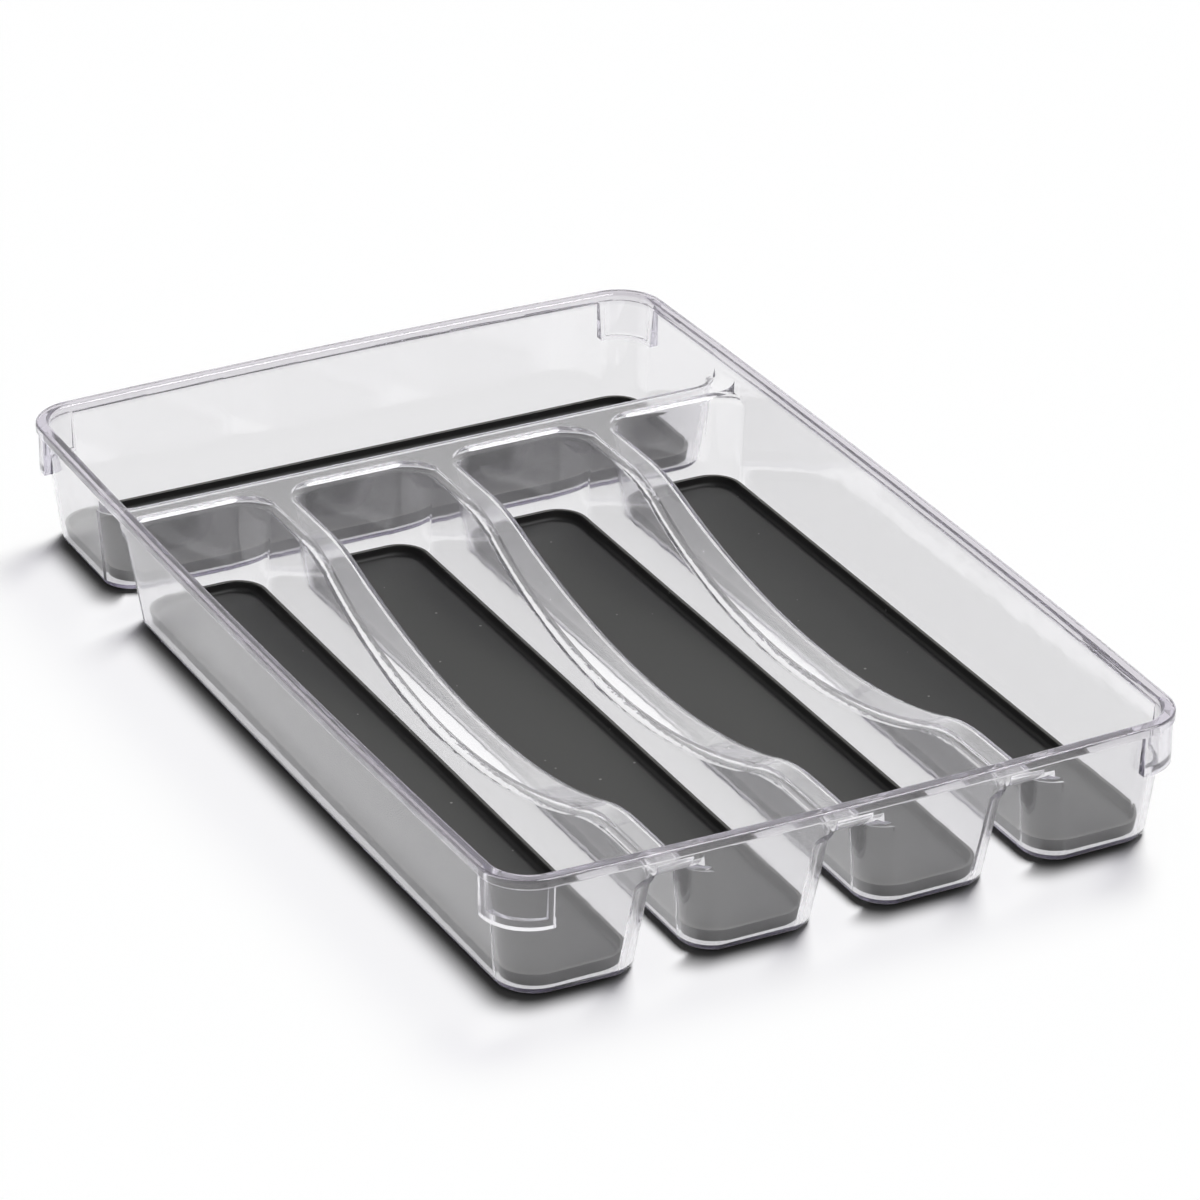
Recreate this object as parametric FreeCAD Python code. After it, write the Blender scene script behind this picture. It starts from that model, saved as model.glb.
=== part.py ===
# Clear moulded cutlery tray with five drop-in non-slip liners.
# Millimetres. X is the width, Y the length (front is -Y), Z is up.
# Origin: centre of the footprint, on the plane that the five feet stand on.
import FreeCAD, Part
import math
import os

V3 = FreeCAD.Vector

# Tray, overall
WIDTH = 255.0            # over the rim, at mid side
LENGTH = 396.0           # over the rim, at mid side
HEIGHT = 46.0            # foot plane to rim top
WALL = 2.2               # skin thickness everywhere
DRAFT = 7.5              # degrees, on every wall and ridge flank
FOOT_BOW = 1.2           # how far each side bulges at the feet
RIM_BOW = 2.8            # how far each side bulges at the rim
FOOT_CORNER = 14.0       # outer corner radius at the feet
RIM_CORNER = 15.5        # outer corner radius of the wall at the rim

# Rim flange
RIM_OVERHANG = 2.2       # flange beyond the wall
RIM_DEPTH = 3.8          # height of the flange's outer face
RIM_ROUND = 0.8          # outer edges of the flange
RIM_INNER_ROUND = 1.2    # inner top edge

# Stacking pads outside the four corners, under the flange, with a hollow behind each
PAD_HEIGHT = 14.5
PAD_SETBACK = 0.7        # pad face behind the flange's face
PAD_RUN = 21.0           # reach along each side from the flange's corner
PAD_END = 1.2            # from a pad's end to its hollow's end
PAD_FADE = 2.0           # hollow runs out into the wall, below the rim's top

# Hollow ridges between the pockets
CROSS_BACK = 78.7        # centre of the cross ridge, from the back of the rim
RIDGE_DROP = 10.5        # plateaus below the rim's top
RIDGE_HALF = 6.0         # half width at plateau height, over the skin
RIDGE_ROUND = 3.4        # top edges, over the skin
POCKET_CORNER = 10.5     # inner corner radius of a pocket
SKIM = 0.25              # how deep a pocket's corner runs into the outer wall
UPTURN = 6.0             # fillet where a ridge top meets an outer wall
UPTURN_TURN = 72.0       # degrees that this fillet turns
FOOT_ROUND = 3.0         # bottom edges of the feet

# Dip in each lengthwise ridge
SADDLE_SHIFT = -0.6      # lowest point, back from the middle of the long pockets
SADDLE_DEPTH = 21.0      # lowest point, below the plateaus
SADDLE_LEVEL = 41.0107   # level run of a ridge's top before and after the dip
SADDLE_BLEND = 65.0      # radius from the dip to the plateaus

# Liners
LINER_BASE = 1.5         # thickness of the mat
LINER_LIP = 4.8          # height of the upturned edge, from the mat's underside
LINER_LIP_WIDTH = 1.4
LINER_CORNER = 11.5      # outer corner radius
LINER_COVE = 1.3         # radius between mat and upturned edge
LINER_ROUND = 0.5        # top of the upturned edge
LINER_GAP = 0.8          # to the pocket walls, all round

LONG_LINERS = ["liner_left", "liner_mid_left", "liner_mid_right", "liner_right"]
BACK_LINER = "liner_back"

PAD_BOTTOM = HEIGHT - RIM_DEPTH - PAD_HEIGHT
RIDGE_TOP = HEIGHT - RIDGE_DROP
CROSS_Y = LENGTH / 2 - CROSS_BACK
SADDLE_LOW = RIDGE_TOP - SADDLE_DEPTH
SADDLE_MID = (CROSS_Y - LENGTH / 2) / 2 + SADDLE_SHIFT
SADDLE_REACH = (CROSS_Y + LENGTH / 2) / 2 - SADDLE_LEVEL
SADDLE_R = (SADDLE_REACH ** 2 + SADDLE_DEPTH ** 2) / (2 * SADDLE_DEPTH) - SADDLE_BLEND
POCKETS = len(LONG_LINERS)
TAN = math.tan(math.radians(DRAFT))
ALL_CORNERS = [(-1, -1), (-1, 1), (1, -1), (1, 1)]
FAR = 8.0                # how far cutters reach past the skin
NEAR = 0.01              # heights this close count as one
LEVEL = 0.5              # least upward share of a normal on a level face


def wall_half(overall, z):
    """Half size of the outer wall at height z, at mid side."""
    return overall / 2 - RIM_OVERHANG - (HEIGHT - z) * TAN


def bow(z):
    return FOOT_BOW + (RIM_BOW - FOOT_BOW) * z / HEIGHT


def corner(z):
    return FOOT_CORNER + (RIM_CORNER - FOOT_CORNER) * z / HEIGHT


def arc(p, q, r):
    return Part.Arc(p, q, r).toShape()


def outline(half_x, half_y, bulge, radius, z):
    """Closed wire: four bulging sides joined by tangent corner arcs."""
    side_x = ((half_y - bulge) ** 2 + bulge ** 2) / (2 * bulge)
    side_y = ((half_x - bulge) ** 2 + bulge ** 2) / (2 * bulge)
    cx = half_x - side_x
    cy = half_y - side_y
    # The corner circle lies inside both side circles and touches them.
    reach_x = side_x - radius
    reach_y = side_y - radius
    span = math.hypot(cx, cy)
    along = (reach_x ** 2 - reach_y ** 2 + span ** 2) / (2 * span)
    off = math.sqrt(reach_x ** 2 - along ** 2)
    ux = -cx / span
    uy = cy / span
    px = cx + along * ux - off * uy
    py = along * uy + off * ux
    if px < 0:
        px = cx + along * ux + off * uy
        py = along * uy - off * ux
    on_x = (cx + (px - cx) * side_x / reach_x, py * side_x / reach_x)
    on_y = (px * side_y / reach_y, cy + (py - cy) * side_y / reach_y)
    mid = math.hypot(on_x[0] + on_y[0] - 2 * px, on_x[1] + on_y[1] - 2 * py)
    tip = (px + (on_x[0] + on_y[0] - 2 * px) * radius / mid,
           py + (on_x[1] + on_y[1] - 2 * py) * radius / mid)

    def at(point, sx, sy):
        return V3(sx * point[0], sy * point[1], z)

    edges = []
    for sx, sy in ((1, 1), (-1, 1), (-1, -1), (1, -1)):
        first, last = (on_x, on_y) if sx * sy > 0 else (on_y, on_x)
        edges.append(arc(at(first, sx, sy), at(tip, sx, sy), at(last, sx, sy)))
        if sx * sy > 0:
            edges.append(arc(at(on_y, sx, sy), V3(0, sy * half_y, z), at(on_y, -sx, sy)))
        else:
            edges.append(arc(at(on_x, sx, sy), V3(sx * half_x, 0, z), at(on_x, sx, -sy)))
    return Part.Wire(edges)


def wall_outline(inset, z):
    return outline(wall_half(WIDTH, z) - inset, wall_half(LENGTH, z) - inset,
                   bow(z), corner(z) - inset, z)


def wall_body(inset, z0, z1):
    return Part.makeLoft([wall_outline(inset, z0), wall_outline(inset, z1)], True, True)


def rim_body(inset, z0, z1):
    wire = outline(WIDTH / 2 - inset, LENGTH / 2 - inset, RIM_BOW,
                   RIM_CORNER + RIM_OVERHANG - inset, z0)
    return Part.Face(wire).extrude(V3(0, 0, z1 - z0))


def wall_at(overall, across_overall, across, inset, z):
    """Half size of the wall at height z, off mid side by across; inset goes into the skin."""
    share = (across / wall_half(across_overall, z)) ** 2
    return wall_half(overall, z) - bow(z) * share - inset


def ridge_half(inset, z):
    return RIDGE_HALF - inset + (RIDGE_TOP - z) * TAN


def narrow_half(overall, across_overall, inset, z):
    """Half size of the bowed wall where it is narrowest, at its ends."""
    return wall_at(overall, across_overall, wall_half(across_overall, z), inset, z)


# The long pockets share the inside width at the floor.
RIDGE_PITCH = 2 * (narrow_half(WIDTH, LENGTH, WALL, WALL) + ridge_half(0, WALL)) / POCKETS


def pocket_x(index):
    """Middle of a long pocket, counted from the left."""
    return (index - (POCKETS - 1) / 2) * RIDGE_PITCH


RIDGES_X = [pocket_x(i) + RIDGE_PITCH / 2 for i in range(POCKETS - 1)]


def tub(sides, z0, z1, corners, radius):
    """Drafted rectangular plug; sides(z) gives x0, x1, y0, y1, corners the rounded ones."""
    rings = []
    for z in (z0, z1):
        x0, x1, y0, y1 = sides(z)
        rings.append([V3(x0, y0, z), V3(x1, y0, z), V3(x1, y1, z), V3(x0, y1, z)])
    low, high = rings
    faces = [low[::-1], high]
    for i in range(4):
        j = (i + 1) % 4
        faces.append([low[i], low[j], high[j], high[i]])
    shell = Part.Shell([Part.Face(Part.makePolygon(f + f[:1])) for f in faces])
    body = Part.Solid(shell)
    centre = body.CenterOfMass
    upright = []
    for edge in body.Edges:
        mid = edge.CenterOfMass
        place = (1 if mid.x > centre.x else -1, 1 if mid.y > centre.y else -1)
        if edge.BoundBox.ZLength > (z1 - z0) / 2 and place in corners:
            upright.append(edge)
    return body.makeFillet(radius, upright)


def pocket_tubs(inset, z0, z1):
    """Plugs of the five pockets: their insides for inset 0, their outsides for inset WALL.

    At the outer walls a plug reaches SKIM past the skin, so a corner runs into the wall.
    """
    radius = POCKET_CORNER + inset
    skin = WALL - inset - SKIM

    def long_sides(index):
        def sides(z):
            half = ridge_half(inset, z)
            reach = RIDGE_PITCH / 2 - half
            x0 = pocket_x(index) - reach
            x1 = pocket_x(index) + reach
            near = abs(pocket_x(index)) - reach + radius
            front = wall_at(LENGTH, WIDTH, near, skin, z)
            outer = wall_at(WIDTH, LENGTH, CROSS_Y - half - radius, skin, z)
            if index == 0:
                x0 = -outer
            if index == POCKETS - 1:
                x1 = outer
            return x0, x1, -front, CROSS_Y - half
        return sides

    def back_sides(z):
        half = ridge_half(inset, z)
        outer = wall_at(WIDTH, LENGTH, CROSS_Y + half + radius, skin, z)
        return -outer, outer, CROSS_Y + half, wall_at(LENGTH, WIDTH, 0, skin, z)

    tubs = []
    for index in range(POCKETS):
        corners = list(ALL_CORNERS)
        if index == 0:
            corners.remove((-1, -1))
        if index == POCKETS - 1:
            corners.remove((1, -1))
        tubs.append(tub(long_sides(index), z0, z1, corners, radius))
    tubs.append(tub(back_sides, z0, z1, [(-1, -1), (1, -1)], radius))
    return tubs


def side_reliefs(inset, z0, z1):
    """Blocks that carry the outer long pockets on to the bowed side walls."""
    front = -LENGTH / 2 - FAR
    end = CROSS_Y - ridge_half(inset, 0) - POCKET_CORNER - inset
    inner = pocket_x(POCKETS - 1)
    wide = WIDTH / 2 + 2 * FAR - inner
    return [Part.makeBox(wide, end - front, z1 - z0, V3(x, front, z0)) for x in (inner, -inner - wide)]


def saddle_prism(inset):
    """Everything below the ridge tops: plateau, dip and plateau along Y, over the full width."""
    plateau = RIDGE_TOP - inset
    dip = SADDLE_R + inset
    blend = SADDLE_BLEND - inset
    dip_z = SADDLE_LOW + SADDLE_R
    blend_z = RIDGE_TOP - SADDLE_BLEND
    reach = math.sqrt((dip + blend) ** 2 - (dip_z - blend_z) ** 2)
    share = dip / (dip + blend)
    meet = (reach * share, dip_z + (blend_z - dip_z) * share)
    half = math.atan2(reach, dip_z - blend_z) / 2
    crest = (reach - blend * math.sin(half), blend_z + blend * math.cos(half))
    end = LENGTH / 2 + FAR
    floor = -FAR

    def at(y, z):
        return V3(-WIDTH / 2 - FAR, y, z)

    def off(y, z):
        return at(SADDLE_MID + y, z)

    edges = [Part.makeLine(at(-end, plateau), off(-reach, plateau)),
             arc(off(-reach, plateau), off(-crest[0], crest[1]), off(-meet[0], meet[1])),
             arc(off(-meet[0], meet[1]), off(0, SADDLE_LOW - inset), off(meet[0], meet[1])),
             arc(off(meet[0], meet[1]), off(crest[0], crest[1]), off(reach, plateau)),
             Part.makeLine(off(reach, plateau), at(end, plateau)),
             Part.makeLine(at(end, plateau), at(end, floor)),
             Part.makeLine(at(end, floor), at(-end, floor)),
             Part.makeLine(at(-end, floor), at(-end, plateau))]
    return Part.Face(Part.Wire(edges)).extrude(V3(WIDTH + 2 * FAR, 0, 0))


def upturn_bar(inset, across, overall, across_overall):
    """Concave bar along X that leads a ridge's top up the wall at +Y."""
    turn = math.radians(UPTURN_TURN)
    radius = UPTURN + inset
    centre_z = RIDGE_TOP + UPTURN
    high = centre_z - radius * math.cos(turn)
    centre_y = wall_at(overall, across_overall, across, WALL - inset, high) - radius * math.sin(turn)
    past = 1.0
    half = RIDGE_PITCH / 2
    deep = RIDGE_TOP - inset - RIDGE_ROUND

    def on(angle):
        return V3(-half, centre_y + radius * math.sin(angle), centre_z - radius * math.cos(angle))

    end = on(turn) + V3(0, past, past * math.tan(turn))
    foot_out = V3(-half, end.y, deep)
    foot_in = V3(-half, centre_y, deep)
    edges = [arc(on(0), on(turn / 2), on(turn)), Part.makeLine(on(turn), end),
             Part.makeLine(end, foot_out), Part.makeLine(foot_out, foot_in),
             Part.makeLine(foot_in, on(0))]
    return Part.Face(Part.Wire(edges)).extrude(V3(2 * half, 0, 0))


def upturns(inset):
    """The upturned ends of all ridges, on the level part of their tops."""
    bars = []
    for x in RIDGES_X:
        bar = upturn_bar(inset, x, LENGTH, WIDTH)
        bar.rotate(V3(0, 0, 0), V3(0, 0, 1), 180)
        bar.translate(V3(x, 0, 0))
        bars.append(bar)
    for side in (-1, 1):
        bar = upturn_bar(inset, CROSS_Y, WIDTH, LENGTH)
        bar.rotate(V3(0, 0, 0), V3(0, 0, 1), -90 * side)
        bar.translate(V3(0, CROSS_Y, 0))
        bars.append(bar)
    tubs = pocket_tubs(RIDGE_ROUND, 0, HEIGHT + FAR)
    return [bar.cut(tubs) for bar in bars]


def ridges(inset):
    """The ridges' top side for inset 0, or the hollow below it for inset WALL."""
    z0 = 0 if inset else WALL
    body = saddle_prism(inset).cut(pocket_tubs(inset, z0, HEIGHT)).Solids[0]
    edges = []
    for edge in body.Edges:
        faces = body.ancestorsOfType(edge, Part.Face)
        mid = edge.valueAt((edge.FirstParameter + edge.LastParameter) / 2)
        inside = abs(mid.x) < WIDTH / 2 + FAR / 2 and abs(mid.y) < LENGTH / 2 + FAR / 2
        if len(faces) == 2 and inside and mid.z > WALL + RIDGE_ROUND:
            level = [abs(f.normalAt(*f.Surface.parameter(mid)).z) > LEVEL for f in faces]
            if level[0] != level[1]:
                edges.append(edge)
    body = body.makeFillet(RIDGE_ROUND - inset, edges).cut(side_reliefs(inset, z0, HEIGHT))
    return body.fuse(upturns(inset))


def corner_blocks(run):
    """Upright square blocks, inwards from the flange's four corners."""
    blocks = []
    for sx, sy in ALL_CORNERS:
        block = Part.makeBox(run, run, HEIGHT)
        block.translate(V3(sx * (WIDTH / 2 - run / 2) - run / 2,
                           sy * (LENGTH / 2 - run / 2) - run / 2, 0))
        blocks.append(block)
    return Part.makeCompound(blocks)


def pads():
    """Four corner pads under the flange."""
    ring = rim_body(PAD_SETBACK, PAD_BOTTOM, HEIGHT - RIM_DEPTH / 2)
    return ring.common(corner_blocks(PAD_RUN))


def pad_hollows():
    """Hollows with an upright face and a ledge, in the inside of the wall behind the pads."""
    ring = rim_body(RIM_OVERHANG + WALL + PAD_FADE * TAN, PAD_BOTTOM + WALL, HEIGHT)
    return ring.common(corner_blocks(PAD_RUN - PAD_END))


def tray_shell():
    rim = rim_body(0, HEIGHT - RIM_DEPTH, HEIGHT)
    rim = rim.makeFillet(RIM_ROUND, [e for e in rim.Edges if e.BoundBox.ZLength < NEAR])
    body = wall_body(0, 0, HEIGHT - RIM_DEPTH / 2).cut(ridges(WALL))
    body = body.fuse([rim] + pads().Solids)
    cavity = wall_body(WALL, WALL, HEIGHT + FAR).cut(ridges(0))
    body = body.cut([cavity] + pad_hollows().Solids).removeSplitter().Solids[0]
    top = max((f for f in body.Faces if f.BoundBox.ZMin > HEIGHT - NEAR), key=lambda f: f.Area)
    mouth = min(top.Wires, key=lambda w: w.Length)
    body = body.makeFillet(RIM_INNER_ROUND, mouth.Edges)
    return body.makeFillet(FOOT_ROUND, [e for e in body.Edges if e.BoundBox.ZMax < NEAR])


def liner_sides(index):
    """Sides of a liner at height z: the long ones from the left, then the back one."""
    edge = WALL + LINER_GAP

    def long_sides(z):
        half = ridge_half(0, z) + LINER_GAP
        reach = RIDGE_PITCH / 2 - half
        x0 = pocket_x(index) - reach
        x1 = pocket_x(index) + reach
        outer = narrow_half(WIDTH, LENGTH, edge, z)
        if index == 0:
            x0 = -outer
        if index == POCKETS - 1:
            x1 = outer
        front = wall_at(LENGTH, WIDTH, max(abs(x0), abs(x1)), edge, z)
        return x0, x1, -front, CROSS_Y - half

    def back_sides(z):
        outer = narrow_half(WIDTH, LENGTH, edge, z)
        back = wall_at(LENGTH, WIDTH, outer, edge, z)
        return -outer, outer, CROSS_Y + ridge_half(0, z) + LINER_GAP, back

    return back_sides if index == POCKETS else long_sides


def liner(index):
    """Soft mat with an upturned edge all round, lying on a pocket's floor."""
    sides = liner_sides(index)

    def inner_sides(z):
        x0, x1, y0, y1 = sides(z)
        return (x0 + LINER_LIP_WIDTH, x1 - LINER_LIP_WIDTH,
                y0 + LINER_LIP_WIDTH, y1 - LINER_LIP_WIDTH)

    top = WALL + LINER_LIP
    base = WALL + LINER_BASE
    body = tub(sides, WALL, top, ALL_CORNERS, LINER_CORNER)
    hollow = tub(inner_sides, base, top + FAR, ALL_CORNERS, LINER_CORNER - LINER_LIP_WIDTH)
    hollow = hollow.makeFillet(LINER_COVE, [e for e in hollow.Edges if e.BoundBox.ZMax < base + NEAR])
    body = body.cut(hollow).Solids[0]
    return body.makeFillet(LINER_ROUND, [e for e in body.Edges if e.BoundBox.ZMin > top - NEAR])


def write(shape, name):
    shape.exportStep(os.path.join("parts", name + ".step"))
    box = shape.BoundBox
    print(name, len(shape.Solids), "solid, valid", shape.isValid(), "volume", round(shape.Volume),
          "size", round(box.XLength, 2), round(box.YLength, 2), round(box.ZLength, 2))


os.makedirs("parts", exist_ok=True)
write(tray_shell(), "tray_shell")
for number, name in enumerate(LONG_LINERS + [BACK_LINER]):
    write(liner(number), name)
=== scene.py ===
import math

import bmesh
import bpy
from bpy.props import FloatProperty, FloatVectorProperty, PointerProperty
from bpy.types import Operator, Panel, PropertyGroup
from mathutils import Euler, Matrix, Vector


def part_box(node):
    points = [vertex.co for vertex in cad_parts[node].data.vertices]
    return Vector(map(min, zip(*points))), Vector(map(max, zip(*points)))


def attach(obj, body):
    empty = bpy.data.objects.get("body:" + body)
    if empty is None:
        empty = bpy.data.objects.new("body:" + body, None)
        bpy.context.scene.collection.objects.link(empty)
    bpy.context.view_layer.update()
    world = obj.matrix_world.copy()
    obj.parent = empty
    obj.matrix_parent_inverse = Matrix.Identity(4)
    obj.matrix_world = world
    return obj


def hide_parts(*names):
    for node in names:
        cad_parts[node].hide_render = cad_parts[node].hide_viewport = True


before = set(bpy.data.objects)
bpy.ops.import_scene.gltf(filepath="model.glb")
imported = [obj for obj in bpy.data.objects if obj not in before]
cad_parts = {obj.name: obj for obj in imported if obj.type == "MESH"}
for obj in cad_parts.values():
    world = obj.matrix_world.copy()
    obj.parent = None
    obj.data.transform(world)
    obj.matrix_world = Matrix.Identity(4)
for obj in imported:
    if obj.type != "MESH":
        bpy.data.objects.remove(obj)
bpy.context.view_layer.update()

bl_info = {
    "name": "Clear Cutlery Tray",
    "version": (1, 0, 0),
    "blender": (4, 5, 0),
    "location": "View3D > Sidebar > Cutlery Tray",
    "description": "Dresses a clear moulded cutlery tray and its soft dark liners",
    "category": "Object",
}

MM = 0.001
TRAY_NODE = "tray_shell"
LINER_NODES = ("liner_left", "liner_mid_left", "liner_mid_right", "liner_right", "liner_back")

# Clear plastic
RIM_FROM = 41.5 * MM         # the thick rim's painted shade begins here
RIM_FULL = 42.5 * MM
EDGE_FROM = 44.9 * MM        # the rim's top edge, with darker painted shade, begins here
EDGE_FULL = 45.4 * MM
FOOT_BAND = 14 * MM          # lowest part of the outer walls, which bends lamp light away
LEFT_WALL = -113.5 * MM      # the left and front walls lie beyond these, near the feet
FRONT_WALL = -184 * MM
HANDLED_PATCH = 45 * MM      # size of the places where hands have dulled the skin
HANDLED_MARK = 6 * MM        # size of the marks in them
FLOW = 14 * MM               # size of the skin's ripples
GRAZING = 5                  # how late a slanting face begins to hold lamp light back

# Liners
LINER_LIFT = 0.15 * MM       # air under a liner
BOTTOM_ROUND = 0.4 * MM      # radius of the bottom edge
TIP_ROUND = 0.2              # radius of the upturned edge's top, as a share of its width
TIP_DEPTH = 0.6 * MM         # part of the upturned edge that hands have polished, and that carries a painted highlight
BOTTOM_STEPS = 3             # faces round the bottom edge, each side of the tip, and the cove
TIP_STEPS = 5
COVE_STEPS = 8
CORNER_POINTS = 9            # points round a corner
POINT_GAP = 8 * MM           # between points along the sides
MAT_RINGS = (0.2, 0.45, 0.7, 0.9)    # from the cove to the middle of the mat
LEAST_CORNER = 0.02          # bounds of a ring's corner radius, as shares of the half width
MOST_CORNER = 0.98
LINER_BEND = 1.45            # refractive index
LINER_SHINE = 0.3
CLOUD = 40 * MM              # size of the clouding
SHADE_RANGE = (0.90, 1.12)   # darkest and lightest shade, of the liner's colour
CLOUD_SHADE = 0.5            # shares of clouding and grain in the shade
GRAIN_SHADE = 0.25
CLOUD_GLOSS = 0.12           # and in the roughness
GRAIN_GLOSS = 0.15
GRAIN_DEPTH = 0.03 * MM
GRAIN_STRENGTH = 0.5
DUST_GAP = 9 * MM            # between specks of dust
DUST_SIZE = 0.05             # radius of a speck, as a share of that gap
DUST_PATCH = 9 * MM          # size of the places that hold dust
DUST_FROM = 0.47             # noise above this holds dust
DUST_SHARE = 0.4             # how much of the dust's colour a speck takes
DUST_COLOUR = (0.5, 0.5, 0.48, 1.0)

# Stage
PHOTO_SIZE = 1200.0          # pixels along each side of the square picture
SENSOR = 36.0                # millimetres across that picture
CLIP_END = 50.0
FLOOR_GAP = 0.05 * MM        # air under the feet
FLOOR_REACH = 6.0
KEY_FROM = (0.52, 0.45, 0.72)
GLINT_FROM = (0.40, -0.30, 0.87)
CEILING_FROM = 0.55          # height on the unit sphere where the pale backdrop begins to darken
CEILING_FULL = 0.80
BOUNCES = {
    "max_bounces": 20,
    "glossy_bounces": 16,
    "transmission_bounces": 20,
    "transparent_max_bounces": 32,
}


# Shader helpers

def feed(socket, value):
    """Link a wrapped socket, or set a plain value."""
    if isinstance(value, Value):
        socket.id_data.links.new(value.socket, socket)
    else:
        socket.default_value = value


class Value:
    """A node's output; arithmetic on it adds Math nodes."""

    def __init__(self, socket):
        self.socket = socket

    def maths(self, operation, first, second):
        node = self.socket.id_data.nodes.new("ShaderNodeMath")
        node.operation = operation
        feed(node.inputs[0], first)
        feed(node.inputs[1], second)
        return Value(node.outputs[0])

    def __add__(self, other):
        return self.maths("ADD", self, other)

    def __sub__(self, other):
        return self.maths("SUBTRACT", self, other)

    def __rsub__(self, other):
        return self.maths("SUBTRACT", other, self)

    def __mul__(self, other):
        return self.maths("MULTIPLY", self, other)

    def __pow__(self, other):
        return self.maths("POWER", self, other)

    def __lt__(self, other):
        return self.maths("LESS_THAN", self, other)

    def __gt__(self, other):
        return self.maths("GREATER_THAN", self, other)

    def __or__(self, other):
        return self.maths("MAXIMUM", self, other)


class Finish:
    """The node tree of a material or of the world, while it is being filled."""

    def __init__(self, owner):
        owner.use_nodes = True
        self.owner = owner
        self.tree = owner.node_tree
        self.tree.nodes.clear()

    def node(self, kind, settings=None, inputs=None, output=0):
        """Add a node, apply its settings, then set or link its sockets; returns one output."""
        node = self.tree.nodes.new(kind)
        for key, value in (settings or {}).items():
            setattr(node, key, value)
        for key, value in (inputs or {}).items():
            feed(node.inputs[key], value)
        return Value(node.outputs[output]) if node.outputs else None

    def noise(self, place, size, detail=2.0):
        """Cloudy value around one half, with features about size metres across."""
        return self.node("ShaderNodeTexNoise", output="Fac", inputs={
            "Vector": place, "Scale": 1.0 / size, "Detail": detail})

    def place(self):
        """Position in the piece, in metres."""
        return self.node("ShaderNodeTexCoord", output="Object")

    def axis(self, vector, name):
        """One of the X, Y and Z parts of a vector."""
        return self.node("ShaderNodeSeparateXYZ", inputs={"Vector": vector}, output=name)

    def ramp(self, value, start, end):
        """Rises from zero at start to one at end."""
        return self.node("ShaderNodeMapRange", inputs={"Value": value, "From Min": start, "From Max": end})

    def blend(self, share, first, second):
        """Colour that goes from first to second as share goes from zero to one."""
        return self.node("ShaderNodeMix", {"data_type": "RGBA"}, output="Result", inputs={
            "Factor": share, "A": first, "B": second})

    def path(self, output):
        """What kind of ray is looking."""
        return self.node("ShaderNodeLightPath", output=output)

    def through(self):
        """One for rays that show a surface to the camera by way of gloss or glass."""
        shows = self.path("Is Glossy Ray") | self.path("Is Transmission Ray")
        return shows * (self.path("Diffuse Depth") < 0.5)


# Sizes and colours that a user would change

class TrayLook(PropertyGroup):
    tint: FloatVectorProperty(
        name="Tint", description="Colour of light that passes one face of the plastic",
        subtype="COLOR", size=3, min=0.0, max=1.0, default=(0.995, 0.993, 1.0))
    # Painted shade: the rim and its top edge get darker violet colours, standing in for the dark lines that
    # refraction makes in the thick rim.
    rim_painted_shade: FloatVectorProperty(
        name="Rim tint", description="The same for the thick rim",
        subtype="COLOR", size=3, min=0.0, max=1.0, default=(0.86, 0.85, 0.87))
    edge_painted_shade: FloatVectorProperty(
        name="Edge tint", description="The same for the top edge of the rim",
        subtype="COLOR", size=3, min=0.0, max=1.0, default=(0.62, 0.585, 0.635))
    depth_tint: FloatVectorProperty(
        name="Depth tint", description="Colour that long ways through the plastic take",
        subtype="COLOR", size=3, min=0.0, max=1.0, default=(0.60, 0.56, 0.70))
    density: FloatProperty(
        name="Density", description="How fast light takes the depth tint, per metre",
        min=0.0, default=24.0)
    bend: FloatProperty(
        name="Refractive index", description="Of clear styrene",
        min=1.0, max=2.0, default=1.59)
    haze: FloatProperty(
        name="Haze", description="Greatest roughness, where the surface has been handled",
        min=0.0, max=1.0, default=0.20)
    clearness: FloatProperty(
        name="Clearness", description="Share of light that the skin lets through instead of scattering",
        min=0.0, max=1.0, default=0.94)
    ripple: FloatProperty(
        name="Ripple", description="Unevenness of the moulded skin",
        unit="LENGTH", min=0.0, default=0.10 * MM)
    shade: FloatVectorProperty(
        name="Shade", description="Colour of lamp light that passes one face of the plastic",
        subtype="COLOR", size=3, min=0.0, max=1.0, default=(0.985, 0.985, 0.988))
    foot_shadow: FloatProperty(
        name="Foot shadow", description="Share of lamp light that the rounded feet bend away",
        min=0.0, max=1.0, default=0.95)


class LinerLook(PropertyGroup):
    colour: FloatVectorProperty(
        name="Colour", description="Colour of the soft liner",
        subtype="COLOR", size=3, min=0.0, max=1.0, default=(0.054, 0.054, 0.053))
    gloss: FloatProperty(
        name="Roughness", description="Mean roughness of the liner",
        min=0.0, max=1.0, default=0.55)
    # Painted highlight: a lighter colour on the tip of the upturned edge, standing in for the shine along
    # it.
    tip: FloatVectorProperty(
        name="Tip", description="Colour of the polished tip of the upturned edge",
        subtype="COLOR", size=3, min=0.0, max=1.0, default=(0.09, 0.088, 0.082))
    polish: FloatProperty(
        name="Polish", description="How much smoother that tip is",
        min=0.0, max=1.0, default=0.30)
    grain: FloatProperty(
        name="Grain", description="Size of the matt moulded grain",
        unit="LENGTH", min=0.0001, default=0.35 * MM)
    mat: FloatProperty(
        name="Mat", description="Thickness of the mat", unit="LENGTH", min=0.0001, default=1.5 * MM)
    lip: FloatProperty(
        name="Lip", description="Width of the upturned edge", unit="LENGTH", min=0.0001, default=1.4 * MM)
    cove: FloatProperty(
        name="Cove", description="Radius between mat and upturned edge",
        unit="LENGTH", min=0.0001, default=1.3 * MM)
    corner: FloatProperty(
        name="Corner", description="Outer corner radius", unit="LENGTH", min=0.001, default=11.5 * MM)
    draft: FloatProperty(
        name="Draft", description="Lean of the upturned edge", subtype="ANGLE", default=math.radians(7.5))


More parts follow.
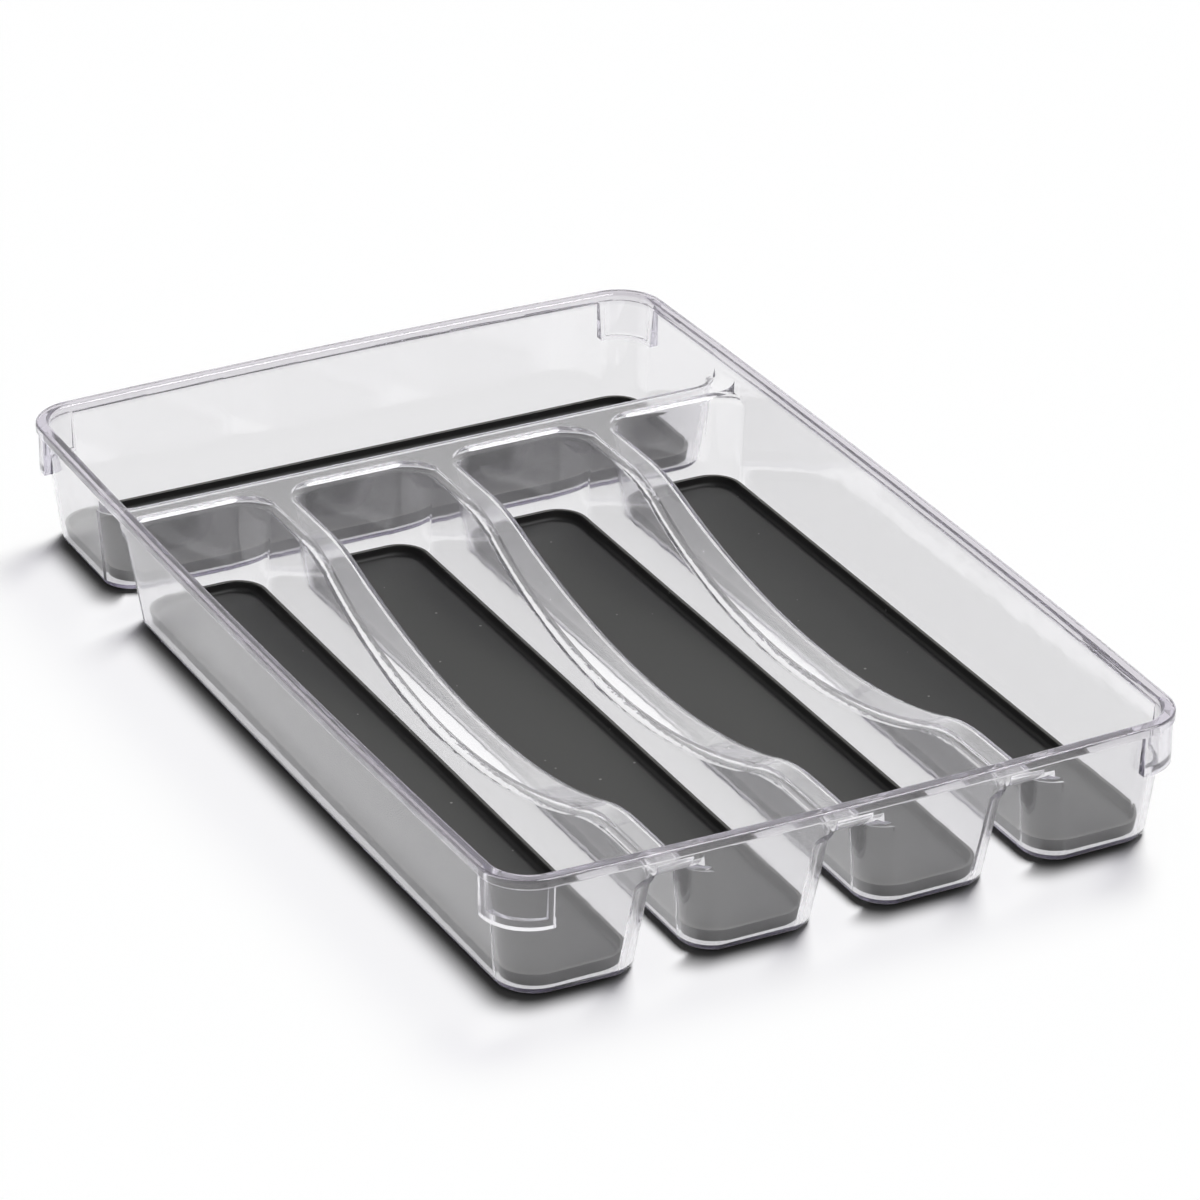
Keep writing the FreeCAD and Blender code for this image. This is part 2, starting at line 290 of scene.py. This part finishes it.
class StageLook(PropertyGroup):
    floor: FloatVectorProperty(
        name="Floor", description="Colour of the floor",
        subtype="COLOR", size=3, min=0.0, max=1.0, default=(0.95, 0.95, 0.95))
    bright: FloatProperty(
        name="Bright", description="Share of plain white in the floor as it shows through the plastic",
        min=0.0, max=1.0, default=0.95)
    mirrored: FloatProperty(
        name="Mirrored", description="Share of plain white in the floor as the plastic mirrors it",
        min=0.0, max=1.0, default=0.2)
    ceiling: FloatProperty(
        name="Ceiling", description="Brightness of the studio's ceiling in the plastic",
        min=0.0, max=1.0, default=0.15)
    key: FloatProperty(
        name="Key light", description="Strength of the soft lamp behind and to the right",
        min=0.0, default=4.35)
    key_spread: FloatProperty(
        name="Key spread", description="Width of that lamp as seen from the tray",
        subtype="ANGLE", default=math.radians(20.0))
    glint: FloatProperty(
        name="Glint", description="Strength of the soft box that only shows in gloss",
        min=0.0, default=3.4)
    glint_spread: FloatProperty(
        name="Glint spread", description="Width of that soft box as seen from the tray",
        subtype="ANGLE", default=math.radians(42.0))
    fill: FloatProperty(
        name="Fill", description="Strength of the even light from all round",
        min=0.0, default=0.05)
    azimuth: FloatProperty(
        name="Azimuth", description="Camera's turn about the upright axis, from straight in front",
        subtype="ANGLE", default=math.radians(-27.06))
    elevation: FloatProperty(
        name="Elevation", description="Camera's angle above the floor",
        subtype="ANGLE", default=math.radians(26.80))
    distance: FloatProperty(
        name="Distance", description="From the camera to the point that it looks at",
        unit="LENGTH", default=2.0856)
    aim: FloatVectorProperty(
        name="Aim", description="Point on the floor at the middle of the picture",
        subtype="TRANSLATION", size=3, default=(0.0327, 0.0475, 0.0))
    focal: FloatProperty(
        name="Focal length", description="In pixels of the square picture", default=5901.5)


# Finishes

def clear_plastic(look):
    """Polished clear moulding: refraction, a faint tint in depth, a little handling haze, and painted shade
    on the thick rim and its top edge.
    """
    finish = Finish(bpy.data.materials.new("clear_plastic_polished"))
    place = finish.place()
    x, y, z = (finish.axis(place, name) for name in "XYZ")
    # Painted shade: a darker colour over the thick rim, and darker still over its top edge.
    tint = finish.blend(finish.ramp(z, RIM_FROM, RIM_FULL), (*look.tint, 1.0), (*look.rim_painted_shade, 1.0))
    tint = finish.blend(finish.ramp(z, EDGE_FROM, EDGE_FULL), tint, (*look.edge_painted_shade, 1.0))
    handled = finish.noise(place, HANDLED_PATCH) * finish.noise(place, HANDLED_MARK, 4.0)
    flow = finish.noise(place, FLOW, 1.0)
    ripple = finish.node("ShaderNodeBump", output="Normal", inputs={
        "Height": flow, "Strength": 1.0, "Distance": look.ripple})
    body = finish.node("ShaderNodeBsdfPrincipled", inputs={
        "Base Color": tint,
        "Roughness": handled * look.haze,
        "IOR": look.bend,
        "Transmission Weight": look.clearness,
        "Normal": ripple,
    })
    passing = finish.node("ShaderNodeBsdfTransparent", inputs={"Color": (*look.shade, 1.0)})
    bent = finish.node("ShaderNodeBsdfTransparent", inputs={"Color": (0.0, 0.0, 0.0, 1.0)})
    grazing = finish.node("ShaderNodeLayerWeight", inputs={"Blend": 0.5}, output="Facing")
    outer = (x < LEFT_WALL) | (y < FRONT_WALL)
    foot = finish.ramp(z, FOOT_BAND, 0.0) * outer
    shadow = finish.node("ShaderNodeMixShader", inputs={
        0: grazing ** GRAZING | foot * look.foot_shadow, 1: passing, 2: bent})
    lit = finish.node("ShaderNodeMixShader", inputs={0: finish.path("Is Shadow Ray"), 1: body, 2: shadow})
    shown = finish.node("ShaderNodeMixShader", inputs={0: finish.path("Is Diffuse Ray"), 1: lit, 2: shadow})
    depth = finish.node("ShaderNodeVolumeAbsorption", inputs={
        "Color": (*look.depth_tint, 1.0), "Density": look.density})
    finish.node("ShaderNodeOutputMaterial", inputs={"Surface": shown, "Volume": depth})
    return finish.owner


def soft_liner(look, top):
    """Charcoal soft plastic: matt grain, faint clouding, a little dust, and an edge polished up to top,
    with a painted highlight there.
    """
    finish = Finish(bpy.data.materials.new("liner_matt"))
    place = finish.place()
    cloud = finish.noise(place, CLOUD, 3.0)
    grain = finish.noise(place, look.grain, 3.0)
    dust = finish.node("ShaderNodeTexVoronoi", output="Distance", inputs={
        "Vector": place, "Scale": 1.0 / DUST_GAP})
    speck = (dust < DUST_SIZE) * (finish.noise(place, DUST_PATCH) > DUST_FROM)
    # Mask of the tip: smoother there, and lighter as a painted highlight.
    tip = finish.ramp(finish.axis(place, "Z"), top - TIP_DEPTH, top - TIP_DEPTH / 2)
    dark, light = ((*[c * share for c in look.colour], 1.0) for share in SHADE_RANGE)
    shade = finish.blend(cloud * CLOUD_SHADE + grain * GRAIN_SHADE, dark, light)
    # Painted highlight: the tip takes the lighter tip colour.
    painted_tip_highlight = finish.blend(tip, shade, (*look.tip, 1.0))
    dusty = finish.blend(speck * DUST_SHARE, painted_tip_highlight, DUST_COLOUR)
    unevenness = (cloud - 0.5) * CLOUD_GLOSS + (grain - 0.5) * GRAIN_GLOSS
    bump = finish.node("ShaderNodeBump", output="Normal", inputs={
        "Height": grain, "Strength": GRAIN_STRENGTH, "Distance": GRAIN_DEPTH})
    body = finish.node("ShaderNodeBsdfPrincipled", inputs={
        "Base Color": dusty,
        "Roughness": unevenness + look.gloss - tip * look.polish,
        "IOR": LINER_BEND,
        "Specular IOR Level": LINER_SHINE,
        "Normal": bump,
    })
    finish.node("ShaderNodeOutputMaterial", inputs={"Surface": body})
    return finish.owner


def white_floor(look):
    """Matt white floor that keeps the tray's shadow, fainter where the plastic shows it."""
    finish = Finish(bpy.data.materials.new("floor_white"))
    matt = finish.node("ShaderNodeBsdfDiffuse", inputs={"Color": (*look.floor, 1.0)})
    white = finish.node("ShaderNodeEmission", inputs={"Strength": 1.0})
    mirror = finish.path("Is Reflection Ray")
    share = finish.through() * (mirror * (look.mirrored - look.bright) + look.bright)
    both = finish.node("ShaderNodeMixShader", inputs={0: share, 1: matt, 2: white})
    finish.node("ShaderNodeOutputMaterial", inputs={"Surface": both})
    return finish.owner


# Meshes

def rounded_ring(centre, half, radius, z, counts):
    """Points round a rounded rectangle, anticlockwise; counts are those on a corner, X side and Y side."""
    on_corner, on_x, on_y = counts
    points = []
    sides = (((1, 1), on_x, (-1, 0)), ((-1, 1), on_y, (0, -1)),
             ((-1, -1), on_x, (1, 0)), ((1, -1), on_y, (0, 1)))
    for turn, ((sx, sy), on_side, way) in enumerate(sides):
        hub = Vector((centre.x + sx * (half[0] - radius), centre.y + sy * (half[1] - radius), z))
        for step in range(on_corner):
            angle = math.pi / 2 * (turn + step / (on_corner - 1))
            points.append(hub + radius * Vector((math.cos(angle), math.sin(angle), 0)))
        run = 2 * (half[0] if way[0] else half[1]) - 2 * radius
        start = points[-1]
        for step in range(1, on_side + 1):
            points.append(start + Vector((*way, 0)) * run * step / (on_side + 1))
    return points


def arc_steps(steps):
    """Cosine and sine over a quarter turn."""
    angles = [math.pi / 2 * i / steps for i in range(steps + 1)]
    return [(math.cos(angle), math.sin(angle)) for angle in angles]


def liner_profile(look, height):
    """Inset from the outer face and height over the underside, from below over the lip to the mat."""
    tip = TIP_ROUND * look.lip
    profile = [(BOTTOM_ROUND * (1 - c), LINER_LIFT + BOTTOM_ROUND * (1 - s))
               for s, c in arc_steps(BOTTOM_STEPS)]
    profile += [(tip * (1 - c), height - tip * (1 - s)) for c, s in arc_steps(TIP_STEPS)]
    profile += [(look.lip - tip * (1 - s), height - tip * (1 - c)) for c, s in arc_steps(TIP_STEPS)]
    profile += [(look.lip + look.cove * (1 - c), look.mat + look.cove * (1 - s))
                for c, s in arc_steps(COVE_STEPS)]
    return profile


def build_liner(name, look):
    """Soft mat with an upturned rounded edge, in the place of its solid."""
    low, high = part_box(name)
    centre = (low + high) / 2
    height = high.z - low.z
    lean = math.tan(look.draft)
    outer = ((high.x - low.x) / 2, (high.y - low.y) / 2)
    counts = (CORNER_POINTS, round(2 * outer[0] / POINT_GAP), round(2 * outer[1] / POINT_GAP))
    profile = liner_profile(look, height)
    floor_inset = profile[-1][0]
    spare = min(outer) - floor_inset
    profile += [(floor_inset + spare * share, look.mat) for share in MAT_RINGS]
    mesh = bmesh.new()
    rings = []
    for inset, z in profile:
        shift = inset + (height - z) * lean
        half = (outer[0] - shift, outer[1] - shift)
        radius = max(look.corner - inset, LEAST_CORNER * min(outer))
        radius = min(radius, MOST_CORNER * min(half))
        ring = rounded_ring(centre, half, radius, low.z + z, counts)
        rings.append([mesh.verts.new(point) for point in ring])
    for under, over in zip(rings, rings[1:]):
        for i in range(len(under)):
            j = (i + 1) % len(under)
            mesh.faces.new((under[i], under[j], over[j], over[i]))
    mesh.faces.new(rings[0][::-1])
    mesh.faces.new(rings[-1])
    data = bpy.data.meshes.new(name + "_soft")
    mesh.to_mesh(data)
    mesh.free()
    data.shade_smooth()
    liner = bpy.data.objects.new(name + "_soft", data)
    bpy.context.collection.objects.link(liner)
    return liner


# Operators

class TRAY_OT_dress_tray(Operator):
    """Give the clear moulding its polished, faintly tinted plastic"""

    bl_idname = "cutlery_tray.dress_tray"
    bl_label = "Dress Clear Tray"

    def execute(self, context):
        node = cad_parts[TRAY_NODE]
        node.data.materials.clear()
        node.data.materials.append(clear_plastic(context.scene.tray_look))
        return {"FINISHED"}


class TRAY_OT_make_liners(Operator):
    """Model the soft liners in the places of their solids"""

    bl_idname = "cutlery_tray.make_liners"
    bl_label = "Make Liners"

    def execute(self, context):
        look = context.scene.liner_look
        matt = soft_liner(look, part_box(LINER_NODES[0])[1].z)
        for name in LINER_NODES:
            liner = build_liner(name, look)
            liner.data.materials.append(matt)
            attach(liner, name)
            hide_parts(name)
        return {"FINISHED"}


class TRAY_OT_set_stage(Operator):
    """Lay the white floor, hang the lights and place the camera"""

    bl_idname = "cutlery_tray.set_stage"
    bl_label = "Set Stage"

    def execute(self, context):
        look = context.scene.stage_look
        context.scene.view_settings.view_transform = "Standard"
        for name, bounces in BOUNCES.items():
            setattr(context.scene.cycles, name, bounces)
        self.lay_floor(look)
        self.hang_lights(context.scene, look)
        self.place_camera(context.scene, look)
        return {"FINISHED"}

    def lay_floor(self, look):
        data = bpy.data.meshes.new("floor")
        signs = ((-1, -1), (1, -1), (1, 1), (-1, 1))
        corners = [(sx * FLOOR_REACH, sy * FLOOR_REACH, -FLOOR_GAP) for sx, sy in signs]
        data.from_pydata(corners, [], [(0, 1, 2, 3)])
        data.materials.append(white_floor(look))
        floor = bpy.data.objects.new("floor", data)
        bpy.context.collection.objects.link(floor)

    def hang_lights(self, scene, look):
        scene.world = scene.world or bpy.data.worlds.new("studio")
        finish = Finish(scene.world)
        height = finish.axis(finish.node("ShaderNodeTexCoord", output="Generated"), "Z")
        backdrop = 1.0 - finish.ramp(height, CEILING_FROM, CEILING_FULL) * (1.0 - look.ceiling)
        seen = finish.path("Is Camera Ray") | finish.through()
        strength = seen * (backdrop - look.fill) + look.fill
        sky = finish.node("ShaderNodeBackground", inputs={
            "Color": (1.0, 1.0, 1.0, 1.0), "Strength": strength})
        finish.node("ShaderNodeOutputWorld", inputs={"Surface": sky})
        key = self.soft_lamp("key", look.key, look.key_spread, KEY_FROM)
        key.visible_glossy = False
        key.visible_transmission = False
        glint = self.soft_lamp("glint", look.glint, look.glint_spread, GLINT_FROM)
        glint.visible_diffuse = False
        glint.visible_transmission = False

    def soft_lamp(self, name, strength, spread, source):
        data = bpy.data.lights.new(name, "SUN")
        data.energy = strength
        data.angle = spread
        lamp = bpy.data.objects.new(name, data)
        lamp.rotation_euler = Vector(source).to_track_quat("Z", "Y").to_euler()
        bpy.context.collection.objects.link(lamp)
        return lamp

    def place_camera(self, scene, look):
        data = bpy.data.cameras.new("camera")
        data.sensor_width = SENSOR
        data.lens = look.focal * SENSOR / PHOTO_SIZE
        data.clip_end = CLIP_END
        camera = bpy.data.objects.new("camera", data)
        back = Vector((math.sin(look.azimuth) * math.cos(look.elevation),
                       -math.cos(look.azimuth) * math.cos(look.elevation), math.sin(look.elevation)))
        camera.location = Vector(look.aim) + look.distance * back
        camera.rotation_euler = Euler((math.pi / 2 - look.elevation, 0.0, look.azimuth))
        bpy.context.collection.objects.link(camera)
        scene.camera = camera


class TRAY_PT_panel(Panel):
    """Lists the steps that dress the tray"""

    bl_idname = "TRAY_PT_panel"
    bl_label = "Cutlery Tray"
    bl_space_type = "VIEW_3D"
    bl_region_type = "UI"
    bl_category = "Cutlery Tray"

    def draw(self, context):
        for operator in OPERATORS:
            self.layout.operator(operator.bl_idname)


LOOKS = {"tray_look": TrayLook, "liner_look": LinerLook, "stage_look": StageLook}
OPERATORS = (TRAY_OT_dress_tray, TRAY_OT_make_liners, TRAY_OT_set_stage)
CLASSES = (*LOOKS.values(), *OPERATORS, TRAY_PT_panel)


def register():
    for cls in CLASSES:
        bpy.utils.register_class(cls)
    for name, look in LOOKS.items():
        setattr(bpy.types.Scene, name, PointerProperty(type=look))


def unregister():
    for name in LOOKS:
        delattr(bpy.types.Scene, name)
    for cls in reversed(CLASSES):
        bpy.utils.unregister_class(cls)


def main():
    register()
    bpy.ops.cutlery_tray.dress_tray()
    bpy.ops.cutlery_tray.make_liners()
    bpy.ops.cutlery_tray.set_stage()


if __name__ == "__main__":
    main()
